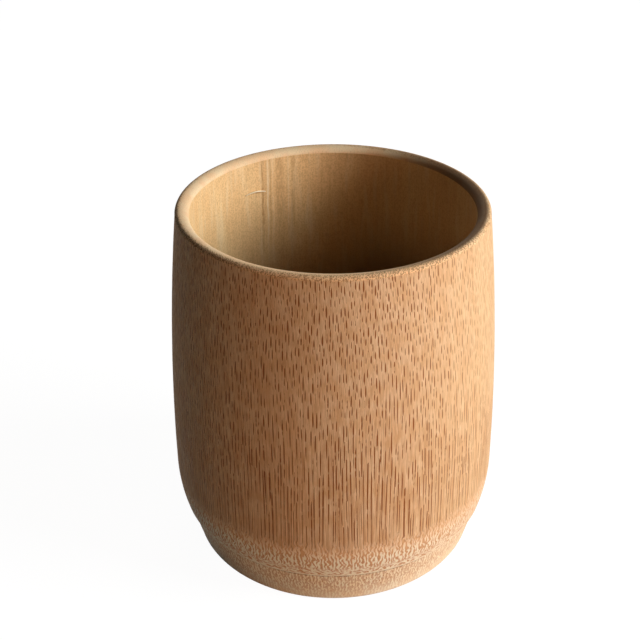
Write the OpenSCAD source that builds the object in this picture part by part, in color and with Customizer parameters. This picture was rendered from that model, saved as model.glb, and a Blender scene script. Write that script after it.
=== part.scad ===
// Drinking cup turned from one length of bamboo stem, with a natural node as its floor.
// Lengths are millimetres, +Z is up and the origin is the middle of the face that the cup stands on.

/* [Cup] */
// Height from the table to the top of the rim
cup_h = 94; // [80:1:120]
// Widest diameter, at the belly
belly_d = 85; // [82:1:100]
// Height of the widest place above the table
belly_h = 22; // [18:1:30]
// Outer diameter of the mouth, before its lip is rounded
mouth_d = 76.4; // [66:0.2:80]
// Radius of the curve that draws the side in from the belly to the node line
heel_r = 40; // [30:1:60]

/* [Wall] */
// Thickness of the wall at the floor, where it is thickest
floor_wall = 6.5; // [5:0.5:9]
// Thickness of the wall at the rim
lip_wall = 3.3; // [2.6:0.1:5]
// Radius of the lip's outer edge
lip_r = 1; // [0.5:0.1:1.4]
// How far the lip's softer inner edge falls below its crest
lip_fall = 1.5; // [0.8:0.1:4]

/* [Node] */
// Height of the node line, where the side ends and the foot begins
node_h = 11; // [8:0.5:14]
// Rounding of the side's lower edge at the node line
node_edge_r = 0.4; // [0.2:0.1:0.8]
// Thickness of the floor near the wall
floor_t = 5; // [4:0.5:8]
// Radius of the corner between the floor and the wall
floor_fillet_r = 6; // [3:0.5:10]
// How far the middle of the floor dips below its edge, inside the cup
floor_dip = 0.8; // [0.2:0.1:1.4]
// How far the underside of the floor arches up in the middle
floor_arch = 1.2; // [0.2:0.1:1.8]

/* [Foot] */
// Diameter of the foot at the table
foot_d = 75.6; // [72:0.2:80]
// How far the side overhangs the foot at the node line
foot_step = 0.5; // [0.2:0.1:1]
// Thickness of the foot's ring at the table
foot_wall = 6.8; // [5:0.1:9]
// Rounding of the foot's outer edge at the table
foot_edge_r = 1.2; // [0.5:0.1:2]
// Rounding of the foot's inner edge at the table
foot_inner_edge_r = 0.8; // [0.4:0.1:1.5]
// Width of the ledge on the foot that carries the floor
ledge_w = 5; // [3:0.5:7]

/* [Hidden] */
$fn = 180;

// Straight pieces along each curve of the profile
side_steps = 18;
heel_steps = 8;
bore_steps = 10;
edge_steps = 6;
floor_steps = 10;

belly_r = belly_d / 2;
mouth_r = mouth_d / 2;
foot_r = foot_d / 2;

// The floor fills the bore, and the corner's top is where the bore starts
bore_r = belly_r - floor_wall;
bore_h = node_h + floor_t + floor_fillet_r;
mouth_bore_r = mouth_r - lip_wall;

// The foot's inside runs from its own wall at the table to the ledge under the floor
foot_bore_r = foot_r - foot_wall;
recess_r = bore_r - ledge_w;

// Radius of the outside between the belly and the mouth, an arch that is upright at the belly
function side_at(z) = belly_r - (belly_r - mouth_r) * pow((z - belly_h) / (cup_h - belly_h), 2);

// Radius of the outside between the node line and the belly, an arc
function heel_at(z) = belly_r - heel_r + sqrt(pow(heel_r, 2) - pow(belly_h - z, 2));

// Radius of the bore between the floor's corner and the mouth
function bore_at(z) = bore_r - (bore_r - mouth_bore_r) * pow((z - bore_h) / (cup_h - bore_h), 2);

// Points [radius, height] along one of these curves from height a to height b
function heel_line(a, b) = [for (i = [0:heel_steps]) let (z = a + (b - a) * i / heel_steps) [heel_at(z), z]];
function side_line(a, b) = [for (i = [0:side_steps]) let (z = a + (b - a) * i / side_steps) [side_at(z), z]];
function bore_line(a, b) = [for (i = [0:bore_steps]) let (z = a + (b - a) * i / bore_steps) [bore_at(z), z]];

// Quarter of an ellipse with half axes w and h about a centre, from angle a to angle b
function quarter(centre, w, h, a, b) =
    [for (i = [0:edge_steps]) let (t = a + (b - a) * i / edge_steps) centre + [w * cos(t), h * sin(t)]];

// The lip: its outer edge is a quarter circle, its inner edge a softer quarter ellipse
lip_centre = [side_at(cup_h - lip_r) - lip_r, cup_h - lip_r];
lip_inner_h = cup_h - lip_fall;
lip_inner_w = lip_centre[0] - bore_at(lip_inner_h);

// The side's lower edge at the node line
node_edge_h = node_h + node_edge_r;
node_edge_centre = [heel_at(node_edge_h) - node_edge_r, node_edge_h];

// The foot's outside runs from just under the side's edge to its rounded edge at the table
foot_top_r = heel_at(node_h) - foot_step;

module culm_wall() {
    color([0.80, 0.60, 0.40])
        rotate_extrude()
            polygon(concat(
                [[bore_r, node_h]],
                quarter(node_edge_centre, node_edge_r, node_edge_r, -90, 0),
                heel_line(node_edge_h, belly_h),
                side_line(belly_h, cup_h - lip_r),
                quarter(lip_centre, lip_r, lip_r, 0, 90),
                quarter([lip_centre[0], lip_inner_h], lip_inner_w, lip_fall, 90, 180),
                bore_line(lip_inner_h, bore_h)
            ));
}

// Height of the floor's upper face near the wall
floor_top = node_h + floor_t;
floor_flat_r = bore_r - floor_fillet_r;

module node_diaphragm() {
    color([0.86, 0.70, 0.50])
        rotate_extrude()
            polygon(concat(
                [for (i = [0:floor_steps]) let (s = i / floor_steps)
                    [recess_r * s, node_h + floor_arch * (1 - s * s)]],
                [[bore_r, node_h], [bore_r, bore_h]],
                quarter([floor_flat_r, bore_h], floor_fillet_r, floor_fillet_r, 0, -90),
                [for (i = [floor_steps:-1:0]) let (s = i / floor_steps)
                    [floor_flat_r * s, floor_top - floor_dip * (1 - s * s)]]
            ));
}

module foot_ring() {
    color([0.85, 0.68, 0.48])
        rotate_extrude()
            polygon(concat(
                quarter([foot_bore_r + foot_inner_edge_r, foot_inner_edge_r],
                    foot_inner_edge_r, foot_inner_edge_r, 180, 270),
                quarter([foot_r - foot_edge_r, foot_edge_r], foot_edge_r, foot_edge_r, -90, 0),
                [[foot_top_r, node_h], [recess_r, node_h]]
            ));
}

culm_wall();
node_diaphragm();
foot_ring();
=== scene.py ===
# A drinking cup turned from one length of bamboo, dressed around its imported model. All sizes are in metres.
import math

import bpy
from mathutils import Matrix, Vector, noise


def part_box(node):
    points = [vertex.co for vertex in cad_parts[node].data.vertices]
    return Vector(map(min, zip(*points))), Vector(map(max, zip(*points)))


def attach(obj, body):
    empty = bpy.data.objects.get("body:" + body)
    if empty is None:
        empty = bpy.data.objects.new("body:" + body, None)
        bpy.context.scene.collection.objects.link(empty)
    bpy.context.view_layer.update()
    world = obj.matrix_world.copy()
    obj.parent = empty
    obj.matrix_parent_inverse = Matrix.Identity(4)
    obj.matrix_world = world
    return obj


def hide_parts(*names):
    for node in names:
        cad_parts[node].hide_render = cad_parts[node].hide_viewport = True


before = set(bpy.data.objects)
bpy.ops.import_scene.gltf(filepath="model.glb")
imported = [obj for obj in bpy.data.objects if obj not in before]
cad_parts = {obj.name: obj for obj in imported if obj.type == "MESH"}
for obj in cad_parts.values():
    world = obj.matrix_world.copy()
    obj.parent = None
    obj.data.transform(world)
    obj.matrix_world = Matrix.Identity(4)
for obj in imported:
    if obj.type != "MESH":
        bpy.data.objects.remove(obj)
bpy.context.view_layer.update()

MM = 0.001

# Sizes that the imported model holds
wall_low, wall_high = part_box("culm_wall")
floor_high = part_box("node_diaphragm")[1]
foot_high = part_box("foot_ring")[1]
CUP_H = wall_high.z
BELLY_R = wall_high.x
NODE_H = wall_low.z
BORE_R = floor_high.x
BORE_H = floor_high.z
FOOT_TOP_R = foot_high.x

# The model's other driving sizes, as the part's source has them
BELLY_H = 22 * MM
MOUTH_R = 38.2 * MM
HEEL_R = 40 * MM
LIP_WALL = 3.3 * MM
LIP_R = 1 * MM
LIP_FALL = 1.5 * MM
NODE_EDGE_R = 0.4 * MM
FLOOR_T = 5 * MM
FLOOR_DIP = 0.8 * MM
FLOOR_ARCH = 1.2 * MM
LEDGE_W = 5 * MM
FOOT_R = 37.8 * MM
FOOT_WALL = 6.8 * MM
FOOT_EDGE_R = 1.2 * MM
FOOT_INNER_EDGE_R = 0.8 * MM

MOUTH_BORE_R = MOUTH_R - LIP_WALL
FLOOR_FILLET_R = BORE_H - NODE_H - FLOOR_T
FLOOR_FLAT_R = BORE_R - FLOOR_FILLET_R
RECESS_R = BORE_R - LEDGE_W

# Steps round the cup, an even number, and along each stretch of the outlines
SEGMENTS = 320
NODE_EDGE_STEPS = 5
HEEL_STEPS = 18
SIDE_STEPS = 84
LIP_STEPS = 10
LIP_INNER_STEPS = 14
BORE_STEPS = 56
UNDERSIDE_STEPS = 24
FLOOR_CORNER_STEPS = 14
FLOOR_TOP_STEPS = 30
RECESS_STEPS = 10
FOOT_INNER_EDGE_STEPS = 6
FOOT_EDGE_STEPS = 8
FOOT_RISE_STEPS = 14

# Lengths below this count as none
TINY = 1e-9

# Free strip along the lower and upper edge of a map, as a share of its height
MAP_MARGIN = 0.006

# Edges sharper than this many degrees aren't shaded smooth
SHARP_DEG = 40

# Depth and length of the slow waves that sanding leaves on the outside
WEAR = 0.05 * MM
WEAR_ROUND = 14 * MM
WEAR_UP = 6 * MM


# Shape of the outlines


def side_at(z):
    """Outer radius between the belly and the mouth."""
    return BELLY_R - (BELLY_R - MOUTH_R) * ((z - BELLY_H) / (CUP_H - BELLY_H)) ** 2


def heel_at(z):
    """Outer radius between the node line and the belly."""
    return BELLY_R - HEEL_R + math.sqrt(HEEL_R ** 2 - (BELLY_H - z) ** 2)


def bore_at(z):
    """Radius of the bore above the floor's corner."""
    return BORE_R - (BORE_R - MOUTH_BORE_R) * ((z - BORE_H) / (CUP_H - BORE_H)) ** 2


def between(start, end, steps):
    """Values from start to end, both ends included."""
    return [start + (end - start) * i / steps for i in range(steps + 1)]


def quarter(centre, across, up, start, end, steps):
    """Points of an ellipse's quarter, from angle start to angle end in degrees."""
    turns = [math.radians(a) for a in between(start, end, steps)]
    return [(centre[0] + across * math.cos(t), centre[1] + up * math.sin(t)) for t in turns]


def wall_outline():
    """The side wall, as stretches of (radius, height) points that share their end points."""
    edge_h = NODE_H + NODE_EDGE_R
    edge_centre = (heel_at(edge_h) - NODE_EDGE_R, edge_h)
    lip_centre = (side_at(CUP_H - LIP_R) - LIP_R, CUP_H - LIP_R)
    inner_h = CUP_H - LIP_FALL
    inner_w = lip_centre[0] - bore_at(inner_h)
    edge = quarter(edge_centre, NODE_EDGE_R, NODE_EDGE_R, -90, 0, NODE_EDGE_STEPS)
    heel = [(heel_at(z), z) for z in between(edge_h, BELLY_H, HEEL_STEPS)]
    side = [(side_at(z), z) for z in between(BELLY_H, CUP_H - LIP_R, SIDE_STEPS)]
    lip_outer = quarter(lip_centre, LIP_R, LIP_R, 0, 90, LIP_STEPS)
    lip_inner = quarter((lip_centre[0], inner_h), inner_w, LIP_FALL, 90, 180, LIP_INNER_STEPS)
    return {
        "seat": [(BORE_R, NODE_H), (edge_centre[0], NODE_H)],
        "side": edge + heel[1:] + side[1:],
        "lip": lip_outer + lip_inner[1:],
        "bore": [(bore_at(z), z) for z in between(inner_h, BORE_H, BORE_STEPS)],
        "hidden": [(BORE_R, BORE_H), (BORE_R, NODE_H)],
    }


def floor_outline():
    """The floor, from the middle of its underside round to the middle of its top."""
    top_h = NODE_H + FLOOR_T
    under = [(RECESS_R * s, NODE_H + FLOOR_ARCH * (1 - s * s)) for s in between(0, 1, UNDERSIDE_STEPS)]
    top = [(FLOOR_FLAT_R * s, top_h - FLOOR_DIP * (1 - s * s)) for s in between(1, 0, FLOOR_TOP_STEPS)]
    corner_centre = (FLOOR_FLAT_R, BORE_H)
    corner = quarter(corner_centre, FLOOR_FILLET_R, FLOOR_FILLET_R, 0, -90, FLOOR_CORNER_STEPS)
    return {
        "underside": under,
        "hidden": [(RECESS_R, NODE_H), (BORE_R, NODE_H), (BORE_R, BORE_H)],
        "top": corner + top[1:],
    }


def foot_outline():
    """The ring foot, from its inside at the node line down, round and up its outside."""
    inner_centre = (FOOT_R - FOOT_WALL + FOOT_INNER_EDGE_R, FOOT_INNER_EDGE_R)
    outer_centre = (FOOT_R - FOOT_EDGE_R, FOOT_EDGE_R)
    inner = quarter(inner_centre, FOOT_INNER_EDGE_R, FOOT_INNER_EDGE_R, 180, 270, FOOT_INNER_EDGE_STEPS)
    outer = quarter(outer_centre, FOOT_EDGE_R, FOOT_EDGE_R, -90, 0, FOOT_EDGE_STEPS)
    rise = [
        (FOOT_R + (FOOT_TOP_R - FOOT_R) * s, FOOT_EDGE_R + (NODE_H - FOOT_EDGE_R) * s)
        for s in between(0, 1, FOOT_RISE_STEPS)
    ]
    return {
        "recess": [(RECESS_R, z) for z in between(NODE_H, FOOT_INNER_EDGE_R, RECESS_STEPS)],
        "base": inner + outer,
        "side": rise,
        "hidden": [(FOOT_TOP_R, NODE_H), (RECESS_R, NODE_H)],
    }


# Meshes


def linked(name, data):
    """An object that holds the data, in the scene."""
    made = bpy.data.objects.new(name, data)
    bpy.context.scene.collection.objects.link(made)
    return made


def point_gap(a, b):
    """Distance between two points of an outline."""
    return math.hypot(a[0] - b[0], a[1] - b[1])


def map_heights(points, stretch_of, rows, closed):
    """Heights on the map, from 0 to 1, of the rings and, on a closed outline, of its return."""
    loop = points + points[:1] if closed else points
    owners = stretch_of + stretch_of[-1:] if closed else stretch_of
    lengths = [point_gap(a, b) for a, b in zip(loop, loop[1:])]
    totals = {s: sum(l for l, o in zip(lengths, owners[1:]) if o == s) for s in rows}
    heights = [0.0]
    for length, owner in zip(lengths, owners[1:]):
        heights.append(heights[-1] + rows[owner] * length / max(totals[owner], TINY))
    return [MAP_MARGIN + h / heights[-1] * (1 - 2 * MAP_MARGIN) for h in heights]


def turned(name, outline, materials, relief=None, rows=None):
    """A solid of revolution. Each stretch of the outline gets its own material.

    relief(place, stretch) gives where a point lies once it has sunk inwards. rows gives each stretch
    its share of the map's height, and the map has the front half of the cup below and the back half
    above.
    """
    points, stretch_of = [], []
    for stretch, line in outline.items():
        shared = points and point_gap(points[-1], line[0]) < TINY
        for point in line[1:] if shared else line:
            points.append(point)
            stretch_of.append(stretch)
    closed = point_gap(points[0], points[-1]) < TINY
    if closed:
        points.pop()
        stretch_of.pop()

    verts, rings = [], []
    for (r, z), stretch in zip(points, stretch_of):
        ring = []
        for i in range(SEGMENTS if r > TINY else 1):
            turn = 2 * math.pi * i / SEGMENTS
            place = Vector((r * math.cos(turn), r * math.sin(turn), z))
            if relief:
                place = relief(place, stretch)
            ring.append(len(verts))
            verts.append(place)
        rings.append(ring)

    heights = map_heights(points, stretch_of, rows, closed) if rows else None
    stretches = list(outline)
    half_turn = SEGMENTS // 2
    faces, slots, corners = [], [], []
    count = len(rings)
    for j in range(count if closed else count - 1):
        low, high = rings[j], rings[(j + 1) % count]
        slot = stretches.index(stretch_of[j + 1] if j + 1 < count else stretches[-1])
        for i in range(SEGMENTS):
            k = (i + 1) % SEGMENTS
            face = [low[i % len(low)], low[k % len(low)], high[k % len(high)], high[i % len(high)]]
            face = [v for n, v in enumerate(face) if v not in face[:n]]
            faces.append(face)
            slots.append(slot)
            if heights:
                in_front = i // half_turn
                base = 0.5 * (1 - in_front)
                left = (i % half_turn) / half_turn
                right = left + 1 / half_turn
                v0, v1 = base + 0.5 * heights[j], base + 0.5 * heights[j + 1]
                corners += [(left, v0), (right, v0), (right, v1), (left, v1)]

    mesh = bpy.data.meshes.new(name)
    mesh.from_pydata(verts, [], faces)
    mesh.polygons.foreach_set("material_index", slots)
    for stretch in stretches:
        mesh.materials.append(materials[stretch])
    if heights:
        # The materials' map, under this name
        layer = mesh.uv_layers.new(name="OFBake")
        layer.data.foreach_set("uv", [x for corner in corners for x in corner])
    mesh.shade_smooth()
    mesh.set_sharp_from_angle(angle=math.radians(SHARP_DEG))
    mesh.validate()
    return linked(name, mesh)


# Nodes


class Graph:
    """The nodes of one material. Each method adds a node and gives back what comes out of it."""

    def __init__(self, tree):
        self.tree = tree

    def add(self, kind, inputs, output=0, **settings):
        made = self.tree.nodes.new("ShaderNode" + kind)
        for name, value in settings.items():
            setattr(made, name, value)
        for name, value in inputs.items():
            self.put(made.inputs[name], value)
        return made.outputs[output]

    def put(self, socket, value):
        if isinstance(value, bpy.types.NodeSocket):
            self.tree.links.new(value, socket)
        else:
            socket.default_value = value

    def math(self, operation, *values, clamp=False):
        return self.add("Math", dict(enumerate(values)), operation=operation, use_clamp=clamp)

    def plus(self, first, second, clamp=False):
        return self.math("ADD", first, second, clamp=clamp)

    def times(self, product, *factors):
        for factor in factors:
            product = self.math("MULTIPLY", product, factor)
        return product

    def times_plus(self, value, factor, addend):
        """The value times the factor, and the addend on top."""
        return self.math("MULTIPLY_ADD", value, factor, addend)

    def less(self, value):
        """What is missing from the value to 1."""
        return self.math("SUBTRACT", 1.0, value)

    def most(self, first, second):
        return self.math("MAXIMUM", first, second)

    def vector(self, operation, *values, output="Vector"):
        return self.add("VectorMath", dict(enumerate(values)), output, operation=operation)

    def scaled(self, vector, factor):
        return self.add("VectorMath", {"Vector": vector, "Scale": factor}, operation="SCALE")

    def split(self, vector):
        made = self.tree.nodes.new("ShaderNodeSeparateXYZ")
        self.put(made.inputs[0], vector)
        return tuple(made.outputs)

    def step(self, value, low, high, start=0.0, end=1.0):
        """Eases from start to end as value goes from low to high."""
        return self.add(
            "MapRange",
            {"Value": value, "From Min": low, "From Max": high, "To Min": start, "To Max": end},
            interpolation_type="SMOOTHSTEP",
        )

    def mix(self, amount, first, second):
        return self.add("Mix", {0: amount, 6: first, 7: second}, 2, data_type="RGBA")

    def noise(self, place, size, detail=2.0, output="Fac"):
        """Noise whose patches have the given size along x, y and z."""
        stretched = self.vector("DIVIDE", place, size)
        return self.add("TexNoise", {"Vector": stretched, "Scale": 1.0, "Detail": detail}, output)

    def patches(self, place, size):
        """Soft patches of the given size, from 0 to 1."""
        return self.step(self.noise(place, size), 0.35, 0.65)

    def wander(self, place, size, detail, amount):
        """Noise about 0, mostly within a quarter of amount either way."""
        return self.times(self.math("SUBTRACT", self.noise(place, size, detail), 0.5), amount)


def new_material(name):
    material = bpy.data.materials.new(name)
    material.use_nodes = True
    return material, Graph(material.node_tree)


def srgb(red, green, blue):
    """A colour given as 0 to 255 on screen, as a shader takes it."""
    def linear(c):
        c /= 255
        return c / 12.92 if c <= 0.04045 else ((c + 0.055) / 1.055) ** 2.4
    return (linear(red), linear(green), linear(blue), 1.0)


# Bamboo, as a solid that every surface cuts through. Inside the nodes lengths are millimetres.

# The fibre bundles: their number round the stem at a radius, the gap between their layers, their half
# width and half depth, and how far each strays from its place in the row as a share of the gap
RING_R = 40.0
BUNDLES_ROUND = 264
BUNDLE_GAP = 2 * math.pi * RING_R / BUNDLES_ROUND
LAYER_GAP = 0.30
BUNDLE_HALF_W = 0.14
BUNDLE_HALF_D = 0.115
BUNDLE_STRAY = 0.42

# The young, paler bundles are the same set, this many places further round
YOUNG_PLACES = 37.5

# Ridges side by side round the node and the foot
RIDGES_ROUND = 280.0

# Heights on the outside: short dashes above, long streaks below, then the node
DASHES_FROM = 62.0
STREAKS_FROM = 40.0
NODE_FROM = 23.5
NODE_FULL = 18.5
LYING_FROM = 15.0
LYING_FULL = 12.5

# Radius of the rim's outer edge
RIM_EDGE = MOUTH_R / MM

# The stem's outside
PITH = srgb(238, 203, 163)
PITH_WARM = srgb(229, 188, 144)
# Painted shade for the pith on the lit right side
PITH_LIT_SIDE_SHADE = srgb(229, 195, 151)
PITH_BROWN = srgb(200, 142, 92)
PITH_PALE = srgb(251, 226, 192)
BUNDLE = srgb(140, 84, 42)

# The node and the foot
NODE_PALE = srgb(255, 245, 222)
NODE_PALE_TOP = srgb(250, 218, 182)
NODE_DARK = srgb(213, 165, 124)
NODE_DARK_TOP = srgb(222, 172, 126)
# Painted shade for the node on the lit right side
NODE_LIT_SIDE_SHADE = srgb(220, 182, 142)
FOOT_WARM = srgb(255, 237, 208)
FOOT_DASH = srgb(200, 148, 100)
# Painted shade for the foot on the lit right side
FOOT_LIT_SIDE_SHADE = srgb(226, 196, 158)
# Painted shade under the node line, and a painted contact shadow at the table
NODE_LINE_SHADE = srgb(116, 78, 48)
TABLE_CONTACT_SHADE = srgb(120, 98, 80)

# The rim
RIM_PALE = srgb(255, 226, 182)
RIM_WARM = srgb(255, 214, 166)
RIM_FRONT = srgb(255, 213, 164)
RIM_OUTER = srgb(228, 180, 126)
RIM_DOT = srgb(132, 90, 54)
# Painted shade on the rim's inner part
RIM_INNER_SHADE = srgb(92, 57, 26)

# The bore, the floor and the loose fibre
BORE_PALE = srgb(255, 216, 158)
BORE_WARM = srgb(251, 207, 148)
BORE_GRAIN = srgb(184, 138, 88)
BORE_FAINT = srgb(255, 232, 188)
# Painted shade in the bore
BORE_SHADE = srgb(106, 80, 52)
# Painted shade in the floor's corner
FLOOR_CORNER_SHADE = srgb(120, 90, 58)
STREAK_DARK = srgb(176, 124, 74)
STREAK_PALE = srgb(255, 230, 186)
FIBRE = srgb(255, 240, 206)

# Streaks on the bore: their angle round the cup in degrees, half width, strength and colour
WALL_STREAKS = (
    (-149.0, 3.4, 0.25, STREAK_DARK),
    (-147.3, 0.8, 0.65, STREAK_DARK),
    (-149.9, 0.6, 0.85, STREAK_PALE),
    (-151.2, 0.5, 0.45, STREAK_DARK),
    (-152.4, 0.45, 0.45, STREAK_PALE),
    (-155.6, 2.8, 0.4, STREAK_DARK),
    (-159.6, 0.5, 0.45, STREAK_PALE),
    (-161.8, 1.4, 0.35, STREAK_DARK),
)


def stem_place(g):
    """Place in millimetres."""
    return g.scaled(g.add("TexCoord", {}, "Object"), 1 / MM)


def turn_of(g, place):
    """Angle round the cup in radians, 0 at the front and growing to the right."""
    x, y, _ = g.split(place)
    return g.math("ARCTAN2", x, g.times(y, -1.0))


def reach_of(g, place):
    """Distance from the cup's axis."""
    return g.vector("LENGTH", g.vector("MULTIPLY", place, (1.0, 1.0, 0.0)), output="Value")


def lit_side_shade(g, x, amount):
    """Grows from 0 to amount towards the right side of the cup, where the key light falls, to paint shade on
    that side.
    """
    return g.step(x, 8.0, 40.0, 0.0, amount)


def shifts(g, place, size, reach):
    """Two smooth random shifts, each mostly within reach either way: round the stem and in depth."""
    centred = g.vector("SUBTRACT", g.noise(place, size, 0.0, "Color"), (0.5, 0.5, 0.5))
    return g.split(g.vector("MULTIPLY", centred, (4 * reach[0], 4 * reach[1], 0.0)))[:2]


def bundles(g, place, tangle, start=0.0):
    """The fibre bundles: their strength, from 0 between them to 1, and each one's own random value.

    They run up the stem side by side, in layers. A surface that leans a little cuts them as long
    spindles, a steeper one as short dashes, and the end grain as dots. Where tangle is above 0 they
    weave to and fro. Another start gives another set of bundles, that many places further round.
    """
    round_mm = g.times(turn_of(g, place), RING_R)
    depth = g.math("SUBTRACT", reach_of(g, place), RING_R)
    for size, reach, amount in (
        ((8.0, 8.0, 60.0), (0.4, 0.3), 1.0),
        ((2.2, 2.2, 24.0), (0.10, 0.15), 1.0),
        ((1.6, 1.6, 1.8), (0.8, 0.2), tangle),
    ):
        aside, inward = shifts(g, place, size, reach)
        round_mm = g.times_plus(aside, amount, round_mm)
        depth = g.times_plus(inward, amount, depth)
    # The layers run together towards the skin of the stem
    fullness = g.step(depth, 1.6, 2.4, 1.0, 2.2)
    # Each layer lies half a place round from the next one
    layer = g.math("DIVIDE", depth, LAYER_GAP)
    column = g.times_plus(layer, 0.5, g.math("DIVIDE", round_mm, BUNDLE_GAP))
    at = g.add("CombineXYZ", {0: g.plus(column, start), 1: g.plus(layer, start)})
    cells = g.tree.nodes.new("ShaderNodeTexVoronoi")
    cells.voronoi_dimensions = "2D"
    cells.inputs["Scale"].default_value = 1.0
    cells.inputs["Randomness"].default_value = BUNDLE_STRAY
    g.put(cells.inputs["Vector"], at)
    own, other, _ = g.split(cells.outputs["Color"])
    off_column, off_layer, _ = g.split(g.vector("SUBTRACT", at, cells.outputs["Position"]))
    aside = g.times(g.times_plus(off_layer, -0.5, off_column), BUNDLE_GAP)
    outward = g.times(off_layer, LAYER_GAP)
    size = g.times_plus(other, 0.6, 0.7)
    across = g.math("DIVIDE", aside, g.times(size, BUNDLE_HALF_W))
    # The outer end of a bundle is blunt and its inner end runs out thin
    blunt = g.times(outward, 1 / (0.7 * BUNDLE_HALF_D))
    thin = g.times(outward, -1 / (1.3 * BUNDLE_HALF_D))
    along = g.math("DIVIDE", g.most(blunt, thin), g.times(size, fullness))
    spindle = g.math("SQRT", g.plus(g.math("POWER", across, 2.0), g.math("POWER", along, 2.0)))
    return g.step(spindle, 1.2, 0.7), own


def strokes(g, place, size, winding):
    """Short strokes of the given size, 1 along each stroke and 0 between them, that wind to and fro."""
    bent = g.vector("SUBTRACT", g.noise(place, (1.7, 1.7, 1.7), 0.0, "Color"), (0.5, 0.5, 0.5))
    bent = g.vector("MULTIPLY", bent, (winding, winding, winding))
    return g.step(g.noise(g.vector("ADD", place, bent), size, 0.8), 0.42, 0.53)


def ridges(g, place, sway, ragged):
    """Upright ridges round the cup, 1 along each and 0 between them, that sway and break off."""
    swaying = g.times(g.noise(place, (2.0, 2.0, 1.5), 0.5), sway)
    ridge = g.math("SINE", g.times_plus(turn_of(g, place), RIDGES_ROUND, swaying))
    broken = g.wander(place, (0.5, 0.5, 1.4), 0.0, ragged)
    return g.step(g.plus(ridge, broken), -0.55, 0.45)


def wood_shader(g, colour, roughness, height, depth, gloss=0.12):
    """Finishes a surface: its colour, its roughness and the fine relief of height, which is depth deep."""
    shader = g.tree.nodes["Principled BSDF"]
    shader.inputs["Specular IOR Level"].default_value = gloss
    g.put(shader.inputs["Base Color"], colour)
    g.put(shader.inputs["Roughness"], roughness)
    bump = g.add("Bump", {"Height": height, "Distance": depth, "Strength": 1.0})
    g.put(shader.inputs["Normal"], bump)


def side_material():
    """The turned outside of the stem: dark dashes above, long streaks below, a tangle at the node."""
    material, g = new_material("bamboo_side")
    place = stem_place(g)
    x, _, height = g.split(place)
    edge = g.wander(place, (1.5, 1.5, 6.0), 1.0, 6.0)
    tangle = g.step(g.plus(height, edge), NODE_FROM, NODE_FULL)
    mark, own = bundles(g, place, tangle)

    # The pith has brown patches and fine pale hairs
    pith = g.mix(g.patches(place, (4.0, 4.0, 5.0)), PITH, PITH_WARM)
    # Painted shade: the pith is painted darker towards the lit right side
    pith = g.mix(lit_side_shade(g, x, 0.85), pith, PITH_LIT_SIDE_SHADE)
    slim = g.step(g.noise(place, (1.3, 1.3, 14.0), 1.0), 0.45, 0.7)
    broad = g.step(g.noise(place, (4.0, 4.0, 9.0), 1.0), 0.45, 0.65)
    brown = g.most(slim, g.times(broad, 0.6))
    pith = g.mix(g.times(brown, g.step(height, DASHES_FROM, STREAKS_FROM, 0.24, 0.38)), pith, PITH_BROWN)
    fine = g.noise(place, (0.3, 0.3, 4.0))
    pith = g.mix(g.step(fine, 0.42, 0.24, 0.0, 0.4), pith, PITH_PALE)

    # The bundles leave small places bare, and fine scratches and young bundles lie between them
    scratch = g.noise(place, (0.14, 0.14, 1.0), 1.0)
    streak = g.times(g.step(fine, 0.4, 0.75), 0.26)
    streak = g.times_plus(g.step(scratch, 0.45, 0.75), 0.12, streak)
    strength = g.times(mark, g.times_plus(own, 0.3, 1.05))
    shown = g.step(g.noise(place, (1.9, 1.9, 2.4), 1.0), 0.34, 0.47, 0.3, 1.0)
    shown = g.most(shown, g.step(height, STREAKS_FROM, 26.0, 0.0, 0.8))
    strength = g.times(strength, shown, g.step(height, 20.0, 42.0, 0.7, 1.0))
    young, _ = bundles(g, place, tangle, YOUNG_PLACES)
    strength = g.most(strength, g.times(young, 0.3))
    # Painted light: the bundles are painted paler towards the lit right side, and less so low down, where
    # they stay stronger
    lit_side_paling = g.step(x, 6.0, 38.0, 0.95, 0.5)
    stronger_below = g.step(height, DASHES_FROM, 28.0, 0.0, 0.32)
    painted_light_fade = g.plus(lit_side_paling, stronger_below, clamp=True)
    stem = g.mix(g.times(g.most(strength, streak), painted_light_fade), pith, BUNDLE)

    # In the node the fibres wind upright above and lie round the cup along the node line
    upright = ridges(g, place, 14.0, 4.6)
    lying = strokes(g, place, (1.1, 1.1, 0.4), 1.4)
    low = g.step(g.plus(height, g.times(edge, 0.3)), LYING_FROM, LYING_FULL)
    winding = g.plus(g.times(upright, g.less(low)), g.times(lying, low))
    ground = g.mix(g.step(height, 20.0, 14.0), NODE_DARK_TOP, NODE_DARK)
    light = g.mix(g.step(height, 21.0, 16.0), NODE_PALE_TOP, NODE_PALE)
    node = g.mix(winding, ground, light)
    node = g.mix(g.times(mark, 0.2, g.less(winding)), node, BUNDLE)
    # Painted highlight: a pale line along the node line's rounded edge, where it catches the light
    node = g.mix(g.step(height, 11.9, 11.4, 0.0, 0.8), node, NODE_PALE)
    # Painted shade: the node is painted darker towards the lit right side
    node = g.mix(lit_side_shade(g, x, 0.5), node, NODE_LIT_SIDE_SHADE)

    rough = g.times_plus(mark, -0.1, 0.68)
    relief = g.times_plus(mark, -0.6, g.times(fine, 0.5))
    wood_shader(g, g.mix(tangle, stem, node), rough, relief, 0.04 * MM)
    return material


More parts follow.
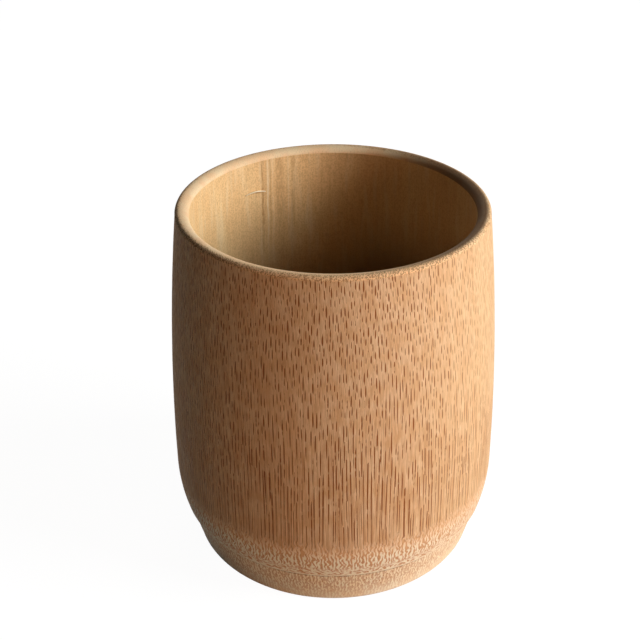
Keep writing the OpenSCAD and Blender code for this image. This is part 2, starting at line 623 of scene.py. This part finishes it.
def rim_material():
    """The rim: smooth pale end grain, with the bundles as dots that are darkest along its outer edge."""
    material, g = new_material("bamboo_rim")
    place = stem_place(g)
    x, y, _ = g.split(place)
    mark, _ = bundles(g, place, 0.0)
    reach = reach_of(g, place)
    # The dark zone is wider on one side, and there it reaches in furthest at the back: partly real specks,
    # partly painted shade on the right
    aside = g.step(x, -8.0, 24.0)
    behind = g.times(aside, g.step(y, 0.0, 28.0))
    wider_specks_and_shade = g.times_plus(behind, 0.7, g.times(aside, 0.5))
    ragged = g.plus(g.wander(place, (0.5, 0.5, 0.5), 1.0, 1.2), wider_specks_and_shade)
    outer = g.step(g.plus(reach, ragged), RIM_EDGE - 1.5, RIM_EDGE - 0.6)
    pith = g.mix(g.patches(place, (4.0, 4.0, 4.0)), RIM_PALE, RIM_WARM)
    pith = g.mix(g.step(y, -18.0, -32.0, 0.0, 0.7), pith, RIM_FRONT)
    pith = g.mix(g.times(outer, 0.28), pith, RIM_OUTER)
    grain = g.noise(place, (0.33, 0.33, 0.33), 1.0)
    dots = g.times(mark, g.times_plus(outer, 0.5, 0.14))
    specks = g.times(g.step(grain, 0.46, 0.62), g.times_plus(outer, 0.66, 0.04))
    colour = g.mix(g.most(dots, specks), pith, RIM_DOT)
    # Painted shade on the inner part of the rim on the right, where it faces away from the key light
    inner = g.step(reach, RIM_EDGE - 0.3, RIM_EDGE - 1.4)
    colour = g.mix(g.times(g.step(x, 2.0, 32.0, 0.0, 0.85), inner), colour, RIM_INNER_SHADE)
    wood_shader(g, colour, 0.66, grain, 0.06 * MM, gloss=0.06)
    return material


def inside_material():
    """The bore: smooth, a little deeper in colour, with upright streaks."""
    material, g = new_material("bamboo_inside")
    place = stem_place(g)
    x, _, height = g.split(place)
    mark, _ = bundles(g, place, 0.0)
    tone = g.mix(g.patches(place, (8.0, 8.0, 30.0)), BORE_PALE, BORE_WARM)
    fine = g.noise(place, (0.6, 0.6, 20.0))
    mottle = g.noise(place, (0.36, 0.36, 0.5), 1.5)
    amount = g.plus(g.times(mark, 0.08), g.times(g.step(fine, 0.4, 0.8), 0.15))
    amount = g.plus(amount, g.times(g.step(mottle, 0.40, 0.64), 0.32))
    colour = g.mix(amount, tone, BORE_GRAIN)
    faint = g.step(g.noise(place, (1.5, 1.5, 14.0), 1.0), 0.5, 0.72, 0.0, 0.26)
    colour = g.mix(faint, colour, BORE_FAINT)
    # A few stronger streaks run down side by side from the rim
    angle = g.times(turn_of(g, place), 180 / math.pi)
    angle = g.plus(angle, g.wander(place, (6.0, 6.0, 6.0), 1.0, 0.8))
    rough = g.step(g.noise(place, (0.3, 0.3, 2.5), 1.0), 0.35, 0.6, 0.35, 0.95)
    upper = g.times(g.step(height, 62.0, 80.0, 0.2, 1.0), rough)
    for middle, half, strength, shade in WALL_STREAKS:
        off = g.math("ABSOLUTE", g.math("SUBTRACT", angle, middle))
        colour = g.mix(g.times(g.step(off, half, 0.3 * half), upper, strength), colour, shade)
    # The bore is painted darker with depth, as shade, and more so on the right of its upper part, where the
    # key light doesn't reach
    shaded_side = g.times(g.step(x, -12.0, 14.0, 0.0, 0.45), g.step(height, 30.0, 60.0))
    bore_shade = g.plus(g.step(height, 84.0, 44.0, 0.0, 0.72), shaded_side, clamp=True)
    colour = g.mix(bore_shade, colour, BORE_SHADE)
    relief = g.times_plus(mottle, 0.5, fine)
    wood_shader(g, colour, 0.68, relief, 0.03 * MM)
    return material


def floor_material():
    """The cup's floor: the pithy partition of the node, with faint rings from turning."""
    material, g = new_material("bamboo_floor")
    place = stem_place(g)
    pith = g.mix(g.patches(place, (5.0, 5.0, 5.0)), NODE_PALE, PITH_PALE)
    fibre = strokes(g, place, (0.8, 0.8, 0.8), 1.6)
    reach = reach_of(g, place)
    ring = g.noise(g.add("CombineXYZ", {0: reach}), (0.5, 0.5, 0.5), 1.0)
    amount = g.times_plus(fibre, 0.2, g.times(g.step(ring, 0.4, 0.65), 0.16))
    colour = g.mix(amount, pith, PITH_BROWN)
    # Painted shade darkens it towards the corner
    corner_shade = g.step(reach, FLOOR_FLAT_R / MM - 8, BORE_R / MM, 0.0, 0.6)
    colour = g.mix(corner_shade, colour, FLOOR_CORNER_SHADE)
    wood_shader(g, colour, 0.72, ring, 0.03 * MM)
    return material


def foot_material():
    """The turned foot under the node: short upright dashes and specks that fade towards the table."""
    material, g = new_material("bamboo_foot")
    place = stem_place(g)
    x, _, height = g.split(place)
    mark, _ = bundles(g, place, 0.3)
    pith = g.mix(g.patches(place, (5.0, 5.0, 5.0)), NODE_PALE, FOOT_WARM)
    dash = g.less(ridges(g, place, 8.0, 6.0))
    amount = g.most(g.times(mark, 0.85), g.times(dash, 0.62))
    fade = g.step(height, 0.5, 7.0, 0.4, 1.0)
    colour = g.mix(g.times(amount, fade), pith, FOOT_DASH)
    # Painted shade: the foot is painted darker towards the lit right side
    colour = g.mix(lit_side_shade(g, x, 0.4), colour, FOOT_LIT_SIDE_SHADE)
    # Painted shade in the corner under the node line's overhang, and a painted contact shadow where the foot
    # touches the table
    ragged = g.plus(height, g.wander(place, (1.0, 1.0, 1.0), 1.0, 1.2))
    colour = g.mix(g.step(ragged, 10.0, 10.8, 0.0, 0.7), colour, NODE_LINE_SHADE)
    colour = g.mix(g.step(height, 0.8, 0.2, 0.0, 0.7), colour, TABLE_CONTACT_SHADE)
    fine = g.noise(place, (0.4, 0.4, 0.8))
    wood_shader(g, colour, 0.68, fine, 0.04 * MM)
    return material


SIDE = side_material()
RIM = rim_material()
INSIDE = inside_material()
FLOOR = floor_material()
FOOT = foot_material()


# Pieces

# The loose fibre: its thickness and steps, then where it starts and how far it goes round the bore in
# degrees, its height, and how far its arch rises, its end drops and its middle stands off the bore
FIBRE_R = 0.19 * MM
FIBRE_AROUND = 8
FIBRE_STEPS = 24
FIBRE_START = -138.2
FIBRE_SPAN = -10.4
FIBRE_H = 83.9 * MM
FIBRE_ARCH = 0.6 * MM
FIBRE_DROP = 0.4 * MM
FIBRE_GAP = 0.15 * MM
FIBRE_STAND_OFF = 0.6 * MM


def worn(place, stretch):
    """Sinks the outside by a hair's breadth in slow waves, as hand sanding leaves it."""
    if stretch != "side":
        return place
    wave = noise.noise(Vector((place.x / WEAR_ROUND, place.y / WEAR_ROUND, place.z / WEAR_UP)))
    outward = Vector((place.x, place.y, 0)).normalized()
    return place - outward * WEAR * (0.5 + 0.5 * wave)


def make_fibre():
    """One loose fibre that curls off the bore near the rim."""
    line = []
    for s in between(0, 1, FIBRE_STEPS):
        arch = math.sin(math.pi * s)
        turn = math.radians(FIBRE_START + FIBRE_SPAN * s)
        z = FIBRE_H + FIBRE_ARCH * arch - FIBRE_DROP * s * s
        r = bore_at(z) - FIBRE_GAP - FIBRE_STAND_OFF * arch
        line.append(Vector((r * math.sin(turn), -r * math.cos(turn), z)))
    verts, faces = [], []
    for n, place in enumerate(line):
        ahead = (line[min(n + 1, FIBRE_STEPS)] - line[max(n - 1, 0)]).normalized()
        side = ahead.cross(Vector((0, 0, 1))).normalized()
        up = side.cross(ahead)
        # It thins out towards both ends
        thick = FIBRE_R * math.sqrt(math.sin(math.pi * (0.12 + 0.76 * n / FIBRE_STEPS)))
        for k in range(FIBRE_AROUND):
            turn = 2 * math.pi * k / FIBRE_AROUND
            verts.append(place + (side * math.cos(turn) + up * math.sin(turn)) * thick)
    for n in range(FIBRE_STEPS):
        for k in range(FIBRE_AROUND):
            a, b = n * FIBRE_AROUND + k, n * FIBRE_AROUND + (k + 1) % FIBRE_AROUND
            faces.append((a, b, b + FIBRE_AROUND, a + FIBRE_AROUND))
    faces.append(tuple(range(FIBRE_AROUND))[::-1])
    faces.append(tuple(FIBRE_STEPS * FIBRE_AROUND + k for k in range(FIBRE_AROUND)))
    mesh = bpy.data.meshes.new("loose_fibre")
    mesh.from_pydata(verts, [], faces)
    mesh.shade_smooth()
    material, g = new_material("bamboo_fibre")
    shader = g.tree.nodes["Principled BSDF"]
    shader.inputs["Base Color"].default_value = FIBRE
    shader.inputs["Roughness"].default_value = 0.6
    mesh.materials.append(material)
    return linked("loose_fibre", mesh)


side_wall = turned(
    "side_wall", wall_outline(),
    {"seat": SIDE, "side": SIDE, "lip": RIM, "bore": INSIDE, "hidden": INSIDE},
    worn, rows={"seat": 0.01, "side": 0.74, "lip": 0.08, "bore": 0.16, "hidden": 0.01},
)
cup_floor = turned(
    "cup_floor", floor_outline(), {"underside": FLOOR, "hidden": FLOOR, "top": FLOOR}
)
ring_foot = turned(
    "ring_foot", foot_outline(), {"recess": FOOT, "base": FOOT, "side": FOOT, "hidden": FOOT},
    rows={"recess": 0.2, "base": 0.25, "side": 0.5, "hidden": 0.05},
)
loose_fibre = make_fibre()

for piece, node, slot in (
    (side_wall, "culm_wall", "culm"),
    (cup_floor, "node_diaphragm", "diaphragm"),
    (ring_foot, "foot_ring", "foot"),
    (loose_fibre, "culm_wall", "culm"),
):
    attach(piece, "root")
    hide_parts(node)


# Stage, lights and camera

# The camera, fitted to the photograph's outline and rim
VIEW_DOWN = math.radians(30.58)
VIEW_DISTANCE = 0.29646
VIEW_AIM_H = 0.06087
VIEW_TURN = -0.01424
VIEW_LEAN = -0.002
FOCAL_PX = 1152.4
AXIS_PX = 350
PICTURE_PX = 640
SENSOR = 36.0

# The lamps: name, azimuth and elevation in degrees, level and colour
LAMP_DISTANCE = 1.0
LAMP_SIZE = 0.55
LAMPS = (
    ("key", 78, 25, 1.04, (0.95, 1.0, 1.02)),
    ("warm_front", 38, 3, 0.39, (1.0, 0.52, 0.32)),
    ("back_fill", 172, 14, 0.26, (1.0, 0.83, 0.70)),
)
WORLD_LEVEL = 0.02

# The studio floor, just under the foot, and the reach over which its own shading gives way to white
FLOOR_HALF = 3.0
FLOOR_H = -0.05 * MM
SHADED_TO = 0.2
WHITE_FROM = 0.7
WHITE = (1, 1, 1, 1)
FLOOR_SEEN = (0.9, 0.9, 0.9, 1)
BOUNCE_SHADED = (0.19, 0.15, 0.11, 1)
BOUNCE_LIT = (0.80, 0.65, 0.47, 1)


def make_camera():
    data = bpy.data.cameras.new("camera")
    data.sensor_width = SENSOR
    data.lens = FOCAL_PX / PICTURE_PX * SENSOR
    data.shift_x = (PICTURE_PX / 2 - AXIS_PX) / PICTURE_PX
    data.clip_start = 0.01
    camera = linked("camera", data)
    back = Vector((0, -math.cos(VIEW_DOWN), math.sin(VIEW_DOWN)))
    turn = back.to_track_quat("Z", "Y").to_matrix()
    turn = turn @ Matrix.Rotation(VIEW_TURN, 3, "Y") @ Matrix.Rotation(VIEW_LEAN, 3, "Z")
    aim = Vector((0, 0, VIEW_AIM_H))
    camera.matrix_world = Matrix.Translation(aim + back * VIEW_DISTANCE) @ turn.to_4x4()
    bpy.context.scene.camera = camera


def make_light(name, azimuth, elevation, level, colour):
    """A soft square lamp, which lights a white sheet that faces it at the cup to level.

    Azimuth 0 is the camera's side and 90 the right.
    """
    data = bpy.data.lights.new(name, "AREA")
    data.shape = "SQUARE"
    data.size = LAMP_SIZE
    data.energy = level * (math.pi * LAMP_DISTANCE) ** 2
    data.color = colour
    lamp = linked(name, data)
    a, e = math.radians(azimuth), math.radians(elevation)
    away = Vector((math.sin(a) * math.cos(e), -math.cos(a) * math.cos(e), math.sin(e)))
    lamp.location = Vector((0, 0, CUP_H / 2)) + away * LAMP_DISTANCE
    lamp.rotation_mode = "QUATERNION"
    lamp.rotation_quaternion = away.to_track_quat("Z", "Y")
    lamp.visible_camera = False


def seen_directly(g):
    """1 for what the camera, a reflection or a glass sees, and 0 for light that falls on things."""
    rays = g.tree.nodes.new("ShaderNodeLightPath")
    mirrored = g.most(rays.outputs["Is Glossy Ray"], rays.outputs["Is Transmission Ray"])
    return g.most(rays.outputs["Is Camera Ray"], mirrored)


def make_floor():
    """A pale floor that keeps the cup's soft shadow."""
    corners = [(x * FLOOR_HALF, y * FLOOR_HALF, FLOOR_H) for x, y in ((-1, -1), (1, -1), (1, 1), (-1, 1))]
    mesh = bpy.data.meshes.new("studio_floor")
    mesh.from_pydata(corners, [], [(0, 1, 2, 3)])
    material, g = new_material("studio_floor")
    shader = g.tree.nodes["Principled BSDF"]
    seen = seen_directly(g)
    place = g.add("TexCoord", {}, "Object")
    # The floor throws a warm light back at the cup; its colour for that light is painted, darker on the
    # shaded side and lighter on the lit side
    x, y, _ = g.split(place)
    lit = g.step(g.times_plus(y, -0.9, x), -0.06, 0.09)
    bounce = g.mix(lit, BOUNCE_SHADED, BOUNCE_LIT)
    g.put(shader.inputs["Base Color"], g.mix(seen, bounce, FLOOR_SEEN))
    shader.inputs["Roughness"].default_value = 1.0
    shader.inputs["Specular IOR Level"].default_value = 0.0
    # Away from the cup and its shadow the floor turns white, like the world behind it
    reach = g.vector("LENGTH", place, output="Value")
    glow = g.add("Emission", {"Color": WHITE, "Strength": g.step(reach, SHADED_TO, WHITE_FROM, 1.12, 1.0)})
    share = g.times(seen, g.step(reach, SHADED_TO, WHITE_FROM, 0.86, 1.0))
    blend = g.add("MixShader", {0: share, 1: shader.outputs[0], 2: glow})
    g.put(g.tree.nodes["Material Output"].inputs["Surface"], blend)
    mesh.materials.append(material)
    linked("studio_floor", mesh)


def make_world():
    """White where it is seen, and a weak even light on the cup."""
    world = bpy.data.worlds.new("studio")
    world.use_nodes = True
    bpy.context.scene.world = world
    g = Graph(world.node_tree)
    background = world.node_tree.nodes["Background"]
    background.inputs["Color"].default_value = WHITE
    strength = g.add("Mix", {0: seen_directly(g), 2: WORLD_LEVEL, 3: 1.0}, 0, data_type="FLOAT")
    g.put(background.inputs["Strength"], strength)


make_camera()
for lamp in LAMPS:
    make_light(*lamp)
make_floor()
make_world()
bpy.context.scene.view_settings.view_transform = "Standard"
